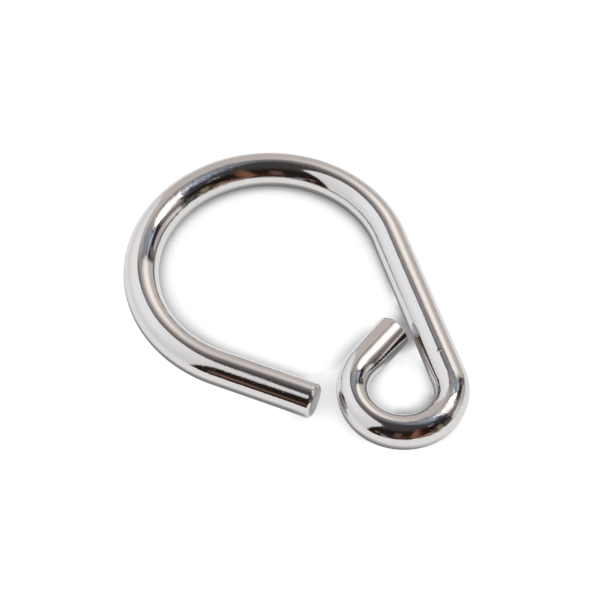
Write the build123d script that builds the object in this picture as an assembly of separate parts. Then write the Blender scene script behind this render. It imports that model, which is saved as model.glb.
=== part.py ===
"""Bent-rod line ring: a large open ring, a long leg and a small eye, formed from one round rod.

The rod is followed from its free end: a straight run, the ring's bend, the leg, the eye's bend and
a short tail that stops just clear of the leg. Every bend turns the same way, so the piece lies flat.
The ring's centre and the eye's centre are both on the X axis, and the part's origin is under the
middle of its outline, on the plane that it lies on. Sizes are in millimetres and degrees.
"""
import os
from math import asin, cos, degrees, hypot, radians, sin

from build123d import *

# The rod, and the chamfer that dresses both of its cut ends
ROD_DIAMETER = 10.0
END_CHAMFER = 0.8

# The rod's bending schedule, with each bend's radius taken to the rod's centreline
FREE_RUN = 29.2
RING_RADIUS = 36.4
RING_TURN = 230.0
LEG_RUN = 50.3
EYE_RADIUS = 13.6
EYE_TURN = 236.4
TAIL_RUN = 14.8

# The leg is tangent to both bends, which fixes how far apart their centres are and how it slopes
CENTRE_DISTANCE = hypot(LEG_RUN, RING_RADIUS - EYE_RADIUS)
LEG_SLOPE = degrees(asin((RING_RADIUS - EYE_RADIUS) / CENTRE_DISTANCE))
LEG_SIDE = 90.0 - LEG_SLOPE  # direction from each bend's centre to the leg

# The two centres on the X axis, placed so that the whole outline is centred on the origin
OVERALL_LENGTH = RING_RADIUS + CENTRE_DISTANCE + EYE_RADIUS + ROD_DIAMETER
RING_CENTRE = Vector((RING_RADIUS + ROD_DIAMETER / 2) - OVERALL_LENGTH / 2, 0)
EYE_CENTRE = RING_CENTRE + Vector(CENTRE_DISTANCE, 0)


def around(centre, radius, angle):
    """The point at an angle on a bend's centreline."""
    return centre + Vector(radius * cos(radians(angle)), radius * sin(radians(angle)))


def onward(angle):
    """The direction of travel at an angle on a bend, counter-clockwise."""
    return Vector(-sin(radians(angle)), cos(radians(angle)))


def rod_centreline():
    """The rod's centreline as one wire, from the tail's end to the free end."""
    ring_start = around(RING_CENTRE, RING_RADIUS, LEG_SIDE)
    ring_end = around(RING_CENTRE, RING_RADIUS, LEG_SIDE + RING_TURN)
    eye_start = around(EYE_CENTRE, EYE_RADIUS, LEG_SIDE - EYE_TURN)
    eye_end = around(EYE_CENTRE, EYE_RADIUS, LEG_SIDE)
    tail_end = eye_start - onward(LEG_SIDE - EYE_TURN) * TAIL_RUN
    free_end = ring_end + onward(LEG_SIDE + RING_TURN) * FREE_RUN
    with BuildLine() as path:
        Line(tail_end, eye_start)
        CenterArc(EYE_CENTRE, EYE_RADIUS, LEG_SIDE - EYE_TURN, EYE_TURN)
        Line(eye_end, ring_start)
        CenterArc(RING_CENTRE, RING_RADIUS, LEG_SIDE, RING_TURN)
        Line(ring_end, free_end)
    return path.wire()


def bent_rod():
    """The whole rod, bent, with both cut ends chamfered, lying on the plane Z = 0."""
    path = rod_centreline()
    section = Plane(origin=path @ 0, z_dir=path % 0) * Circle(ROD_DIAMETER / 2)
    rod = sweep(section, path=path)
    end_faces = rod.faces().filter_by(GeomType.PLANE)
    rod = chamfer(end_faces.edges(), END_CHAMFER)
    return Pos(0, 0, ROD_DIAMETER / 2) * rod


os.makedirs("parts", exist_ok=True)
rod = bent_rod()
rod.label = "bent_rod"
export_step(rod, "parts/bent_rod.step")
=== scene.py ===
"""Looks for the bent-rod line ring: a mirror-polished rod lying on a pale floor, in a small light tent.

Everything is in metres, in the part's own frame: the ring's centre and the eye's centre are over the
X axis, the rod lies on Z = 0, and the origin is under the middle of the outline.
"""
import math

import bpy
import numpy as np
from mathutils import Matrix, Vector


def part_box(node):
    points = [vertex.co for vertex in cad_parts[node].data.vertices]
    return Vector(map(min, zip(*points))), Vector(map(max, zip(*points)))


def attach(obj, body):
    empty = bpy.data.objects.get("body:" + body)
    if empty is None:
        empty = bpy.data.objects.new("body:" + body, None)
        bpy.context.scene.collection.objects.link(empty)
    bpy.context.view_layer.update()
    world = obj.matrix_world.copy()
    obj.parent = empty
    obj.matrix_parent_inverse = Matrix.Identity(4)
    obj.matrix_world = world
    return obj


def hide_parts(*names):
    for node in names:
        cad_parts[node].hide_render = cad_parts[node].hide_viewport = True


# The CAD node that this model stands for
NODE = "bent_rod"
UP = Vector((0, 0, 1))

# The part of the rod's bending schedule that its outline doesn't give
FREE_RUN = 0.0292
RING_TURN = math.radians(230.0)
LEG_RUN = 0.0503
EYE_TURN = math.radians(236.4)
TAIL_RUN = 0.0148

# The camera: where it looks, from where, and its lens in millimetres
CAMERA_AZIMUTH = math.radians(47.98)
CAMERA_ELEVATION = math.radians(54.73)
CAMERA_DISTANCE = 0.58514
CAMERA_TARGET = Vector((-0.00218, -0.00063, 0.005))
CAMERA_LENS = 124.24
CAMERA_SENSOR = 36.0

# The light tent stands square to the camera
TENT_RIGHT = Vector((math.cos(CAMERA_AZIMUTH), math.sin(CAMERA_AZIMUTH), 0))
TENT_FAR = Vector((-math.sin(CAMERA_AZIMUTH), math.cos(CAMERA_AZIMUTH), 0))

# How much of the light the steel gives back
STEEL_REFLECTANCE = 0.80


# ---------------------------------------------------------------- small helpers

def srgb(r, g, b):
    """A colour given as 0 to 255 screen values, as linear light."""
    def linear(v):
        v = v / 255.0
        return v / 12.92 if v <= 0.04045 else ((v + 0.055) / 1.055) ** 2.4
    return (linear(r), linear(g), linear(b))


def seen(r, g, b):
    """The colour that looks like this, 0 to 255 on the screen, once the steel has mirrored it."""
    return tuple(v / STEEL_REFLECTANCE for v in srgb(r, g, b))


def toward(azimuth, elevation):
    """A direction from the object: azimuth runs clockwise from the middle of the tent's far wall."""
    a = math.radians(azimuth)
    e = math.radians(elevation)
    level = math.sin(a) * TENT_RIGHT + math.cos(a) * TENT_FAR
    return math.cos(e) * level + math.sin(e) * UP


def new_tree(owner):
    """An empty node tree on a material or world."""
    owner.use_nodes = True
    owner.node_tree.nodes.clear()
    return owner.node_tree


def add(tree, kind, inputs=None, **settings):
    """A node with its settings and inputs; an input that is a socket is linked, any other is set."""
    node = tree.nodes.new(kind)
    for name, value in settings.items():
        setattr(node, name, value)
    for name, value in (inputs or {}).items():
        if isinstance(value, bpy.types.NodeSocket):
            tree.links.new(value, node.inputs[name])
        else:
            node.inputs[name].default_value = value
    return node


def maths(tree, operation, first, second=0.0):
    """One Math node's result."""
    return add(tree, "ShaderNodeMath", {0: first, 1: second}, operation=operation).outputs[0]


def plus(tree, base, amount, scale):
    """base with amount times scale added to it."""
    return maths(tree, "ADD", base, maths(tree, "MULTIPLY", amount, scale))


def ramp_up(tree, value, start, end):
    """0 up to start, 1 from end on, and a smooth rise between them; start may be the larger one."""
    inputs = {"Value": value, "From Min": start, "From Max": end, "To Min": 0.0, "To Max": 1.0}
    return add(tree, "ShaderNodeMapRange", inputs, interpolation_type="SMOOTHSTEP").outputs["Result"]


def dot(tree, vector, direction):
    """How far a vector reaches along a fixed direction."""
    node = add(tree, "ShaderNodeVectorMath", {0: vector, 1: tuple(direction)}, operation="DOT_PRODUCT")
    return node.outputs["Value"]


def noise(tree, vector, scale, detail):
    """A noise texture's value, given one scale, or one for each axis."""
    if isinstance(scale, tuple):
        stretched = add(tree, "ShaderNodeVectorMath", {0: vector, 1: scale}, operation="MULTIPLY")
        vector = stretched.outputs[0]
        scale = 1.0
    inputs = {"Vector": vector, "Scale": scale, "Detail": detail}
    return add(tree, "ShaderNodeTexNoise", inputs).outputs[0]


def blend_colours(tree, amount, first, second):
    """A colour between two others."""
    node = tree.nodes.new("ShaderNodeMix")
    node.data_type = "RGBA"
    for socket, value in ((node.inputs[0], amount), (node.inputs[6], first), (node.inputs[7], second)):
        if isinstance(value, bpy.types.NodeSocket):
            tree.links.new(value, socket)
        elif isinstance(value, tuple):
            socket.default_value = (*value, 1.0)
        else:
            socket.default_value = value
    return node.outputs[2]


# ---------------------------------------------------------------- the frame and the rod's centreline

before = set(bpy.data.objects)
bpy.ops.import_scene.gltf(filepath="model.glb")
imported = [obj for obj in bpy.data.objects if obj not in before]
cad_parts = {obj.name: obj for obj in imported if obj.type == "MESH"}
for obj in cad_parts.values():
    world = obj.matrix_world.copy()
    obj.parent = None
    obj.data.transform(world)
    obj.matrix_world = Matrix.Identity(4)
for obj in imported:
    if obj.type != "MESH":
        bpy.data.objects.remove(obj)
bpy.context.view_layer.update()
low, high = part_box(NODE)
ROD_RADIUS = (high.z - low.z) / 2
RING_RADIUS = (high.y - low.y) / 2 - ROD_RADIUS
OVERALL_LENGTH = high.x - low.x


def eye_radius():
    """The eye's centreline radius, which the overall length gives once the leg is known."""
    reach = OVERALL_LENGTH - RING_RADIUS - 2 * ROD_RADIUS
    return (reach ** 2 - LEG_RUN ** 2 - RING_RADIUS ** 2) / (2 * (reach - RING_RADIUS))


EYE_RADIUS = eye_radius()
LEG_SLOPE = math.atan2(RING_RADIUS - EYE_RADIUS, LEG_RUN)
LEG_SIDE = math.pi / 2 - LEG_SLOPE
RING_CENTRE = Vector((low.x + RING_RADIUS + ROD_RADIUS, 0, ROD_RADIUS))
EYE_CENTRE = Vector((high.x - EYE_RADIUS - ROD_RADIUS, 0, ROD_RADIUS))

# Arc length along the centreline, from the free end, at the start of each stretch and at the tail's end
RING_FROM = FREE_RUN
LEG_FROM = RING_FROM + RING_RADIUS * RING_TURN
EYE_FROM = LEG_FROM + LEG_RUN
TAIL_FROM = EYE_FROM + EYE_RADIUS * EYE_TURN
ROD_LENGTH = TAIL_FROM + TAIL_RUN


def rod_pose(s):
    """The centreline's point and heading at arc length s from the free end."""
    ring_start = LEG_SIDE + RING_TURN
    heading = ring_start - math.pi / 2
    point = RING_CENTRE + RING_RADIUS * Vector((math.cos(ring_start), math.sin(ring_start), 0))
    point -= FREE_RUN * Vector((math.cos(heading), math.sin(heading), 0))
    stretches = ((FREE_RUN, 0.0), (LEG_FROM - RING_FROM, 1 / RING_RADIUS), (LEG_RUN, 0.0),
                 (TAIL_FROM - EYE_FROM, 1 / EYE_RADIUS), (TAIL_RUN, 0.0))
    left = s
    for length, bend in stretches:
        step = min(left, length)
        turn = bend * step
        if turn > 0:
            side = Vector((math.sin(heading), -math.cos(heading), 0)) / bend
            point = point + side - Matrix.Rotation(-turn, 3, "Z") @ side
            heading -= turn
        else:
            point = point + step * Vector((math.cos(heading), math.sin(heading), 0))
        left -= step
        if left <= 0:
            break
    return point, heading


# ---------------------------------------------------------------- the rod's mesh

SECTION_SIDES = 136
STATION_STEP = 0.0005
FINE_STEP = 0.00009

# The cut ends: their chamfer, the rounding of its two edges, and how finely they are divided
CHAMFER = 0.0008
CHAMFER_ANGLE = math.radians(45)
CHAMFER_ROUND = 0.00018
FACE_RINGS = 10
CORNER_STEPS = 4
BODY_INSET = 0.0006

# Marks that the bending tool has left: (place along the rod, angle in degrees from the outside of the
# bends, half-length round the rod in degrees, half-width along the rod, depth)
TOOL_MARKS = (
    (EYE_FROM - 0.0063, 99, 6, 0.00033, 0.00009),
    (EYE_FROM - 0.0058, 112, 8, 0.00022, 0.00004),
    (EYE_FROM - 0.0064, 124, 7, 0.00028, 0.00004),
    (TAIL_FROM - 0.0077, 126, 16, 0.0007, 0.00005),
    (TAIL_FROM - 0.0077, 60, 13, 0.0006, 0.00005),
)
MARK_REACH = 0.002

# Bending has drawn the rod a little oval in the tight eye, most of all where the bend ends
EYE_OVAL = 0.06
EYE_END_OVAL = 0.05
OVAL_RISE = 0.012


def bell(x, width):
    """A smooth bump of height 1 about zero."""
    return math.exp(-(x / width) ** 2)


def smooth_step(x, start, end):
    """0 before start, 1 after end, and a smooth rise between them."""
    t = min(max((x - start) / (end - start), 0.0), 1.0)
    return t * t * (3 - 2 * t)


def rod_radius(s, angle):
    """The rod's radius at arc length s and angle around the section, from the outside of the bends."""
    oval = EYE_OVAL * (smooth_step(s, EYE_FROM, EYE_FROM + OVAL_RISE)
                       - smooth_step(s, TAIL_FROM - OVAL_RISE / 2, TAIL_FROM + OVAL_RISE / 2))
    oval += EYE_END_OVAL * bell(s - TAIL_FROM + OVAL_RISE, OVAL_RISE / 2)
    radius = ROD_RADIUS * (1 - oval * math.cos(angle) ** 2)
    for place, side, spread, width, depth in TOOL_MARKS:
        if abs(s - place) < MARK_REACH:
            around = math.degrees(math.remainder(angle - math.radians(side), 2 * math.pi))
            radius -= depth * bell(s - place, width) * bell(around, spread)
    return radius


def rounded_corner(depth, ratio, before, after):
    """Points of an end's profile round one corner, given the directions of the two lines from it."""
    reach = 2 * CHAMFER_ROUND * math.tan(CHAMFER_ANGLE / 2)
    ends = []
    for dx, dr in (before, after):
        length = math.hypot(dx, dr)
        ends.append((depth + reach * dx / length, ratio + reach * dr / length / ROD_RADIUS))
    (ax, ar), (bx, br) = ends
    points = []
    for k in range(CORNER_STEPS + 1):
        t = k / CORNER_STEPS
        x = (1 - t) ** 2 * ax + 2 * t * (1 - t) * depth + t * t * bx
        r = (1 - t) ** 2 * ar + 2 * t * (1 - t) * ratio + t * t * br
        points.append((x, r))
    return points


def end_profile():
    """(distance in from the cut face, radius over the rod's) from the face's centre to the full rod."""
    face_edge = 1 - CHAMFER / ROD_RADIUS
    face = [(0.0, face_edge * k / FACE_RINGS) for k in range(1, FACE_RINGS)]
    face_corner = rounded_corner(0.0, face_edge, (0.0, -1.0), (1.0, 1.0))
    side_corner = rounded_corner(CHAMFER, 1.0, (-1.0, -1.0), (1.0, 0.0))
    return face + face_corner + side_corner


def stations():
    """(arc length, radius over the rod's) of every section from the free end to the tail's end."""
    profile = end_profile()
    body = []
    s = CHAMFER + BODY_INSET
    while s < ROD_LENGTH - CHAMFER - BODY_INSET:
        body.append((s, 1.0))
        near_mark = any(abs(s - mark[0]) < MARK_REACH for mark in TOOL_MARKS)
        s += FINE_STEP if near_mark else STATION_STEP
    return profile + body + [(ROD_LENGTH - depth, ratio) for depth, ratio in reversed(profile)]


def rod_points(sections):
    """Every vertex on the bent rod, the cut faces' centres last, and its place on the straight rod."""
    bent = []
    straight = []
    for s, ratio in sections:
        point, heading = rod_pose(s)
        outward = Vector((-math.sin(heading), math.cos(heading), 0))
        for k in range(SECTION_SIDES):
            angle = 2 * math.pi * k / SECTION_SIDES
            radius = rod_radius(s, angle) * ratio
            bent.append(point + radius * (math.cos(angle) * outward + math.sin(angle) * UP))
            straight.append((s, radius * math.cos(angle), radius * math.sin(angle)))
    for s in (0.0, ROD_LENGTH):
        bent.append(rod_pose(s)[0])
        straight.append((s, 0.0, 0.0))
    return bent, straight


def rod_faces(section_count):
    """The skin between the sections, and a fan of triangles in the middle of each cut face."""
    faces = []
    for k in range(section_count - 1):
        for j in range(SECTION_SIDES):
            a = k * SECTION_SIDES + j
            b = k * SECTION_SIDES + (j + 1) % SECTION_SIDES
            faces.append((a, b, b + SECTION_SIDES, a + SECTION_SIDES))
    free_centre = section_count * SECTION_SIDES
    for j in range(SECTION_SIDES):
        faces.append((free_centre, (j + 1) % SECTION_SIDES, j))
    last = (section_count - 1) * SECTION_SIDES
    for j in range(SECTION_SIDES):
        faces.append((free_centre + 1, last + j, last + (j + 1) % SECTION_SIDES))
    return faces


def rod_mesh():
    """The bent rod as one closed mesh, which keeps each vertex's place on the straight rod."""
    sections = stations()
    bent, straight = rod_points(sections)
    faces = rod_faces(len(sections))
    mesh = bpy.data.meshes.new("polished_rod")
    mesh.from_pydata(bent, [], faces)
    layer = mesh.attributes.new("straight_rod", "FLOAT_VECTOR", "POINT")
    layer.data.foreach_set("vector", np.array(straight, np.float32).ravel())
    mesh.polygons.foreach_set("use_smooth", [True] * len(faces))
    mesh.update()
    return mesh


# ---------------------------------------------------------------- the steel

# Texture scales are per metre of the straight rod: one number, or one along the rod and two across it.
# Depths are shares of BUMP_DISTANCE.
BUMP_DISTANCE = 0.000016

# The polish: draw lines along the rod, a faint peel that comes and goes in clouds, and hazy specks
DRAW_LINE_SCALE = (90.0, 2600.0, 2600.0)
DRAW_LINE_DEPTH = 0.5
PEEL_SCALE = 2600.0
CLOUD_SCALE = 110.0
CLOUD_RANGE = (0.35, 0.75)
SPECK_RANGE = (0.55, 0.75)
POLISH_ROUGHNESS = 0.045
SPECK_ROUGHNESS = 0.16
POLISH_COLOURS = (srgb(228, 226, 224), srgb(234, 233, 232))

# Where the bending tool has rubbed the polish: (place along the rod, half-length)
RUBS = ((RING_FROM + 0.078, 0.019), (EYE_FROM + 0.014, 0.016))
SCRATCH_SCALE = (500.0, 1500.0, 1500.0)
SCRATCH_DEPTH = 4.0
RUB_ROUGHNESS = 0.03

# The ground cut faces: how far in from the face the grinding has ended, and how far in it is full
GROUND_RANGE = (0.0003, 0.0001)
GRIND_SCALE = (0.0, 5000.0, 500.0)
GRIND_DEPTH = 0.3
GROUND_ROUGHNESS = 0.15
GROUND_COLOURS = (srgb(183, 176, 184), srgb(228, 222, 230))


def polish(tree, place):
    """The polish's height, roughness and colour."""
    draw_lines = noise(tree, place, DRAW_LINE_SCALE, 2.0)
    peel = noise(tree, place, PEEL_SCALE, 2.0)
    cloudy = noise(tree, place, CLOUD_SCALE, 3.0)
    peel_depth = ramp_up(tree, cloudy, *CLOUD_RANGE)
    height = plus(tree, maths(tree, "MULTIPLY", peel, peel_depth), draw_lines, DRAW_LINE_DEPTH)
    rough = plus(tree, POLISH_ROUGHNESS, ramp_up(tree, peel, *SPECK_RANGE), SPECK_ROUGHNESS)
    return height, rough, blend_colours(tree, cloudy, *POLISH_COLOURS)


def with_rubs(tree, place, s, height, rough):
    """The height and roughness once short scratches along the rod are added at the rubs."""
    scratches = noise(tree, place, SCRATCH_SCALE, 3.0)
    for middle, half_length in RUBS:
        away = maths(tree, "ABSOLUTE", maths(tree, "SUBTRACT", s, middle))
        rubbed = ramp_up(tree, away, half_length, half_length / 3)
        height = plus(tree, height, maths(tree, "MULTIPLY", rubbed, scratches), SCRATCH_DEPTH)
        rough = plus(tree, rough, rubbed, RUB_ROUGHNESS)
    return height, rough


def with_cut_faces(tree, place, s, height, rough, tint):
    """The height, roughness and colour once the cut ends are ground to a satin face."""
    from_end = maths(tree, "MINIMUM", s, maths(tree, "SUBTRACT", ROD_LENGTH, s))
    ground = ramp_up(tree, from_end, *GROUND_RANGE)
    grind = noise(tree, place, GRIND_SCALE, 2.0)
    height = plus(tree, height, maths(tree, "MULTIPLY", ground, grind), GRIND_DEPTH)
    rough = plus(tree, rough, ground, GROUND_ROUGHNESS)
    satin = blend_colours(tree, grind, *GROUND_COLOURS)
    return height, rough, blend_colours(tree, ground, tint, satin)


def polished_steel():
    """Mirror-polished stainless steel with draw lines, peel, hazy specks and rubs, and ground cut ends."""
    material = bpy.data.materials.new("polished_steel")
    tree = new_tree(material)
    place = add(tree, "ShaderNodeAttribute", attribute_name="straight_rod").outputs["Vector"]
    s = add(tree, "ShaderNodeSeparateXYZ", {"Vector": place}).outputs["X"]
    height, rough, tint = polish(tree, place)
    height, rough = with_rubs(tree, place, s, height, rough)
    height, rough, tint = with_cut_faces(tree, place, s, height, rough, tint)
    bump = add(tree, "ShaderNodeBump", {"Height": height, "Strength": 1.0, "Distance": BUMP_DISTANCE})
    shader = add(tree, "ShaderNodeBsdfPrincipled", {
        "Base Color": tint, "Metallic": 1.0, "Roughness": rough, "Normal": bump.outputs[0]})
    add(tree, "ShaderNodeOutputMaterial", {"Surface": shader.outputs[0]})
    return material


# ---------------------------------------------------------------- the floor

FLOOR_HALF = 3.0

# Where the floor's shadow is seen: (middle, radius, strength) of discs in the ring, in the eye and on
# its side away from the light, round the mouth between them, and round the tail's tip
SHELTERS = (
    (RING_CENTRE, RING_RADIUS, 1.0),
    (EYE_CENTRE, EYE_RADIUS, 0.72),
    (EYE_CENTRE + 0.008 * toward(135, 0), 0.009, 1.0),
    (Vector((0.026, -0.006, 0)), 0.020, 0.42),
    (rod_pose(ROD_LENGTH)[0] + 0.004 * toward(345, 0), 0.009, 1.0),
)
SHELTER_EDGE = 0.0025

# The floor as the camera sees it: where its light comes from, how open it is at the shadow's darkest
# and at its edge, and how sharply the shadow narrows on the middle line and how much more at the sides
VIEW_LIGHT = toward(180, 54)
VIEW_OPEN = (0.45, 0.93)
VIEW_NARROWING = 1.3
SIDE_NARROWING = 1.3
VIEW_FLOOR = (1.02, 1.02, 1.02)
VIEW_SHADOW = srgb(150, 150, 151)

# The floor as the steel mirrors it: greyer, and with painted shade that darkens it farther off on the
# lamp's side
MIRROR_LIGHT = toward(40, 27)
MIRROR_OPEN = (0.43, 0.9)
MIRROR_FLOOR = (seen(217, 216, 216), seen(184, 177, 173))
MIRROR_SHADOW = seen(118, 117, 116)
# Painted shade: the mirrored floor grows darker between these distances on the lamp's side
FAR_SHADE_TOWARD = toward(25, 0)
FAR_SHADE_RANGE = (0.045, 0.1)

SHADOW_REACH = 0.009
SHADOW_SAMPLES = 16


def sheltered(tree, place):
    """How much of the shadow the floor takes: most inside the ring and the eye, and none outside them."""
    inside = None
    for middle, radius, strength in SHELTERS:
        inputs = {0: place, 1: (middle.x, middle.y, 0.0)}
        away = add(tree, "ShaderNodeVectorMath", inputs, operation="DISTANCE").outputs["Value"]
        disc = ramp_up(tree, away, radius + SHELTER_EDGE, radius - SHELTER_EDGE)
        disc = maths(tree, "MULTIPLY", disc, strength)
        inside = disc if inside is None else maths(tree, "MAXIMUM", inside, disc)
    return inside


def shade(tree, light_from, darkest, fullest):
    """How open the floor is to a broad light: 0 beside the rod and 1 in the open."""
    towards_light = add(tree, "ShaderNodeCombineXYZ", {0: light_from.x, 1: light_from.y, 2: light_from.z})
    inputs = {"Distance": SHADOW_REACH, "Normal": towards_light.outputs[0]}
    node = add(tree, "ShaderNodeAmbientOcclusion", inputs, samples=SHADOW_SAMPLES)
    return ramp_up(tree, node.outputs["AO"], darkest, fullest)


def floor_in_view(tree, place):
    """Bright, with a narrow soft shadow inside the ring, the eye and the mouth."""
    across = maths(tree, "SUBTRACT", dot(tree, place, TENT_RIGHT), RING_CENTRE.dot(TENT_RIGHT))
    side = ramp_up(tree, maths(tree, "ABSOLUTE", across), RING_RADIUS / 2, RING_RADIUS)
    narrowing = plus(tree, VIEW_NARROWING, side, SIDE_NARROWING)
    closed = maths(tree, "SUBTRACT", 1.0, shade(tree, VIEW_LIGHT, *VIEW_OPEN))
    dark = maths(tree, "MULTIPLY", sheltered(tree, place), maths(tree, "POWER", closed, narrowing))
    return blend_colours(tree, dark, VIEW_FLOOR, VIEW_SHADOW)


def floor_in_steel(tree, place):
    """Pale grey with painted shade: darkest beside the rod on the side away from the lamp, and darker
    farther off on the lamp's side.
    """
    distance = ramp_up(tree, dot(tree, place, FAR_SHADE_TOWARD), *FAR_SHADE_RANGE)
    cloth = blend_colours(tree, distance, *MIRROR_FLOOR)
    return blend_colours(tree, shade(tree, MIRROR_LIGHT, *MIRROR_OPEN), MIRROR_SHADOW, cloth)


def pale_floor():
    """A pale floor with a soft shadow beside the rod, as the camera sees it and as the steel mirrors it."""
    material = bpy.data.materials.new("pale_floor")
    tree = new_tree(material)
    place = add(tree, "ShaderNodeNewGeometry").outputs["Position"]
    camera_ray = add(tree, "ShaderNodeLightPath").outputs["Is Camera Ray"]
    colour = blend_colours(tree, camera_ray, floor_in_steel(tree, place), floor_in_view(tree, place))
    shader = add(tree, "ShaderNodeEmission", {"Color": colour})
    add(tree, "ShaderNodeOutputMaterial", {"Surface": shader.outputs[0]})
    return material


# ---------------------------------------------------------------- the light tent

# The tent's parts are given as directions from the object, (azimuth, elevation) in degrees, as
# toward() takes them. Their colours are as they look in the steel.
LEFT_WALL = ((232, -4), (225, 50), (223, 66), (262, 77.5), (300, 73), (336, 57), (334, -4))
FAR_WALL = ((332, -4), (333, 50), (350, 53.5), (3, 54.5), (16, 53),
            (27, 50), (38, 44.5), (46, 33), (51, 22), (54, -4))
RIGHT_WALL = ((57, -4), (61, 20), (78, 27), (100, 22), (104, 10), (104, -4))

# Each wall: (corners, softness of its edges, dull colour, bright colour, the patch where it is bright)
WALLS = (
    (RIGHT_WALL, 0.04, (170, 161, 160), (203, 200, 197), (93, 6, 22, 28)),
    (FAR_WALL, 0.04, (181, 173, 169), (243, 237, 231), (27, 38, 26, 22)),
    (LEFT_WALL, 0.028, (205, 204, 205), (227, 227, 230), (303, 45, 60, 60)),
)

LAMP = ((25, 59.5), (34, 64.5), (50, 67.5), (65, 65), (75, 61), (80, 54), (74, 46.5), (60, 46),
        (41, 53.5))
LAMP_SOFTNESS = 0.03
LAMP_COLOUR = (1.9, 1.87, 1.84)

# The dim room behind everything: its colour low down and at the top, and the heights it changes between
ROOM_COLOURS = (seen(34, 24, 19), seen(60, 58, 59))
ROOM_RANGE = (0.7, 1.0)
BACKDROP_COLOUR = (1.0, 1.0, 1.0, 1.0)

# Folds make all the surroundings a little darker and lighter
FOLD_SCALE = 5.0
FOLD_DARKEST = 0.94
FOLD_CHANGE = 0.12

# Cloths and furniture with straight edges: (corners, colour, softness of the edges)
CLOTHS = (
    (((68, 46), (96, 44), (102, 30), (98, 22), (72, 28)), (122, 111, 107), 0.05),
    (((72, 62), (86, 56), (92, 45), (84, 40), (70, 43)), (194, 187, 185), 0.06),
    (((5, 55.5), (14, 62), (28, 65), (34, 57)), (206, 192, 183), 0.025),
    (((2, 55), (20, 57), (38, 54.5), (50, 46), (38, 46), (22, 52)), (132, 139, 149), 0.02),
    (((49, 38), (54, 36), (60, 20), (59, -4), (54, -4), (53, 20)), (104, 96, 102), 0.02),
    (((25, 2), (112, 2), (112, -2), (25, -2)), (150, 136, 135), 0.012),
    (((143, 66), (149, 64), (163, 42), (171, 12), (160, 8), (151, 38)), (118, 80, 62), 0.05),
    (((181, 42), (191, 42), (193, 14), (183, 14)), (88, 68, 64), 0.05),
    (((134, 20), (145, 18), (168, 3), (167, -4), (132, -4)), (118, 92, 78), 0.04),
    (((120, 29), (128, 29), (129, -4), (119, -4)), (120, 112, 92), 0.03),
    (((212, 20), (204, 14), (193, -4), (208, -4)), (118, 116, 122), 0.04),
    (((160, 5), (206, 5), (206, -4), (160, -4)), (112, 100, 100), 0.03),
)

# Soft round patches in the room, behind the walls: (azimuth, elevation, half-width, half-height, colour)
ROOM_PATCHES = (
    (335, 65, 32, 15, (100, 94, 92)),
    (350, 56, 16, 8, (134, 131, 132)),
    (50, 69, 30, 14, (150, 156, 172)),
    (100, 58, 30, 24, (54, 56, 66)),
    (136, 42, 26, 18, (24, 19, 16)),
    (111, 12, 9, 18, (88, 92, 84)),
    (178, 16, 18, 14, (62, 36, 31)),
    (200, 22, 10, 12, (40, 34, 48)),
    (217, 18, 5, 11, (108, 86, 76)),
    (123, 56, 4, 5, (178, 170, 170)),
)

# Two more in front of the walls: a bluish one just under the lamp, and a dark one lower on its right
FRONT_PATCHES = (
    (50, 42, 11, 8, (178, 188, 208)),
    (69, 30, 11, 8, (48, 48, 60)),
)
PATCH_FULL = 0.9


def panel(tree, direction, corners, softness):
    """1 inside a flat-sided panel seen from the object, 0 outside it, given its corners' directions."""
    points = [toward(*corner) for corner in corners]
    middle = sum(points, Vector()).normalized()
    inside = None
    for a, b in zip(points, points[1:] + points[:1]):
        edge = a.cross(b).normalized()
        edge = edge if edge.dot(middle) > 0 else -edge
        side = ramp_up(tree, dot(tree, direction, edge), -softness, softness)
        inside = side if inside is None else maths(tree, "MULTIPLY", inside, side)
    return inside


def patch(tree, direction, azimuth, elevation, half_width, half_height):
    """1 in the middle of a soft oval patch, falling to 0 at its edge."""
    middle = toward(azimuth, elevation)
    across = toward(azimuth + 90, 0)
    turn = Matrix((across, middle.cross(across), middle)).transposed().to_euler()
    size = (math.sin(math.radians(half_width)), math.sin(math.radians(half_height)), 1.0)
    inputs = {"Vector": direction, "Location": tuple(middle), "Rotation": tuple(turn), "Scale": size}
    place = add(tree, "ShaderNodeMapping", inputs, vector_type="TEXTURE").outputs[0]
    ball = add(tree, "ShaderNodeTexGradient", {"Vector": place}, gradient_type="SPHERICAL")
    return ramp_up(tree, ball.outputs["Fac"], 0.0, PATCH_FULL)


def with_patches(tree, direction, colour, patches):
    """A colour with soft patches laid over it."""
    for *where, tint in patches:
        colour = blend_colours(tree, patch(tree, direction, *where), colour, seen(*tint))
    return colour


def tent_colour(tree, direction):
    """The colour of the surroundings in a direction: the room, then what stands in front of it in turn."""
    height = dot(tree, direction, UP)
    colour = blend_colours(tree, ramp_up(tree, height, *ROOM_RANGE), *ROOM_COLOURS)
    colour = with_patches(tree, direction, colour, ROOM_PATCHES)
    for corners, softness, dull, bright, glow in WALLS:
        cloth = blend_colours(tree, patch(tree, direction, *glow), seen(*dull), seen(*bright))
        colour = blend_colours(tree, panel(tree, direction, corners, softness), colour, cloth)
    for corners, tint, softness in CLOTHS:
        colour = blend_colours(tree, panel(tree, direction, corners, softness), colour, seen(*tint))
    colour = blend_colours(tree, panel(tree, direction, LAMP, LAMP_SOFTNESS), colour, LAMP_COLOUR)
    return with_patches(tree, direction, colour, FRONT_PATCHES)


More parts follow.
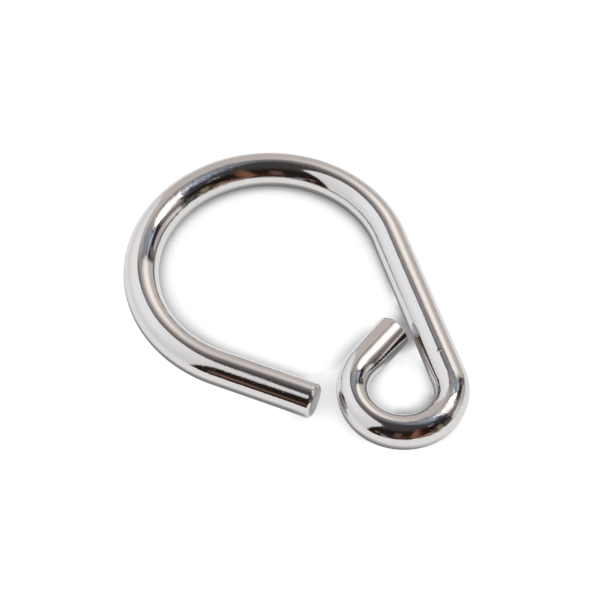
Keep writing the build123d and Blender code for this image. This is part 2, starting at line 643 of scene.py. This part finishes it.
def light_tent():
    """The surroundings that the steel mirrors, fabric walls in a dim room, and a plain white backdrop."""
    world = bpy.data.worlds.new("light_tent")
    bpy.context.scene.world = world
    tree = new_tree(world)
    direction = add(tree, "ShaderNodeTexCoord").outputs["Generated"]
    strength = plus(tree, FOLD_DARKEST, noise(tree, direction, FOLD_SCALE, 2.0), FOLD_CHANGE)
    tent = add(tree, "ShaderNodeBackground", {"Color": tent_colour(tree, direction), "Strength": strength})
    backdrop = add(tree, "ShaderNodeBackground", {"Color": BACKDROP_COLOUR, "Strength": 1.0})
    camera_ray = add(tree, "ShaderNodeLightPath").outputs["Is Camera Ray"]
    either = {0: camera_ray, 1: tent.outputs[0], 2: backdrop.outputs[0]}
    surface = add(tree, "ShaderNodeMixShader", either).outputs[0]
    add(tree, "ShaderNodeOutputWorld", {"Surface": surface})


# ---------------------------------------------------------------- camera and assembly

def make_camera():
    """The camera, held without roll, looking down at the rod."""
    level = Vector((math.sin(CAMERA_AZIMUTH), -math.cos(CAMERA_AZIMUTH), 0))
    back = math.cos(CAMERA_ELEVATION) * level + math.sin(CAMERA_ELEVATION) * UP
    data = bpy.data.cameras.new("camera")
    data.lens = CAMERA_LENS
    data.sensor_width = CAMERA_SENSOR
    data.clip_start = 0.01
    camera = bpy.data.objects.new("camera", data)
    camera.location = CAMERA_TARGET + CAMERA_DISTANCE * back
    camera.rotation_euler = (-back).to_track_quat("-Z", "Y").to_euler()
    bpy.context.scene.collection.objects.link(camera)
    bpy.context.scene.camera = camera


def make_floor():
    """A wide flat floor under the rod."""
    corners = [(x * FLOOR_HALF, y * FLOOR_HALF, 0) for x, y in ((-1, -1), (1, -1), (1, 1), (-1, 1))]
    mesh = bpy.data.meshes.new("floor")
    mesh.from_pydata(corners, [], [(0, 1, 2, 3)])
    mesh.materials.append(pale_floor())
    floor = bpy.data.objects.new("floor", mesh)
    bpy.context.scene.collection.objects.link(floor)


def make_rod():
    """The polished rod, which stands for the CAD node."""
    mesh = rod_mesh()
    mesh.materials.append(polished_steel())
    rod = bpy.data.objects.new("polished_rod", mesh)
    bpy.context.scene.collection.objects.link(rod)
    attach(rod, "root")
    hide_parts(NODE)


bpy.context.scene.view_settings.view_transform = "Standard"
make_camera()
light_tent()
make_floor()
make_rod()
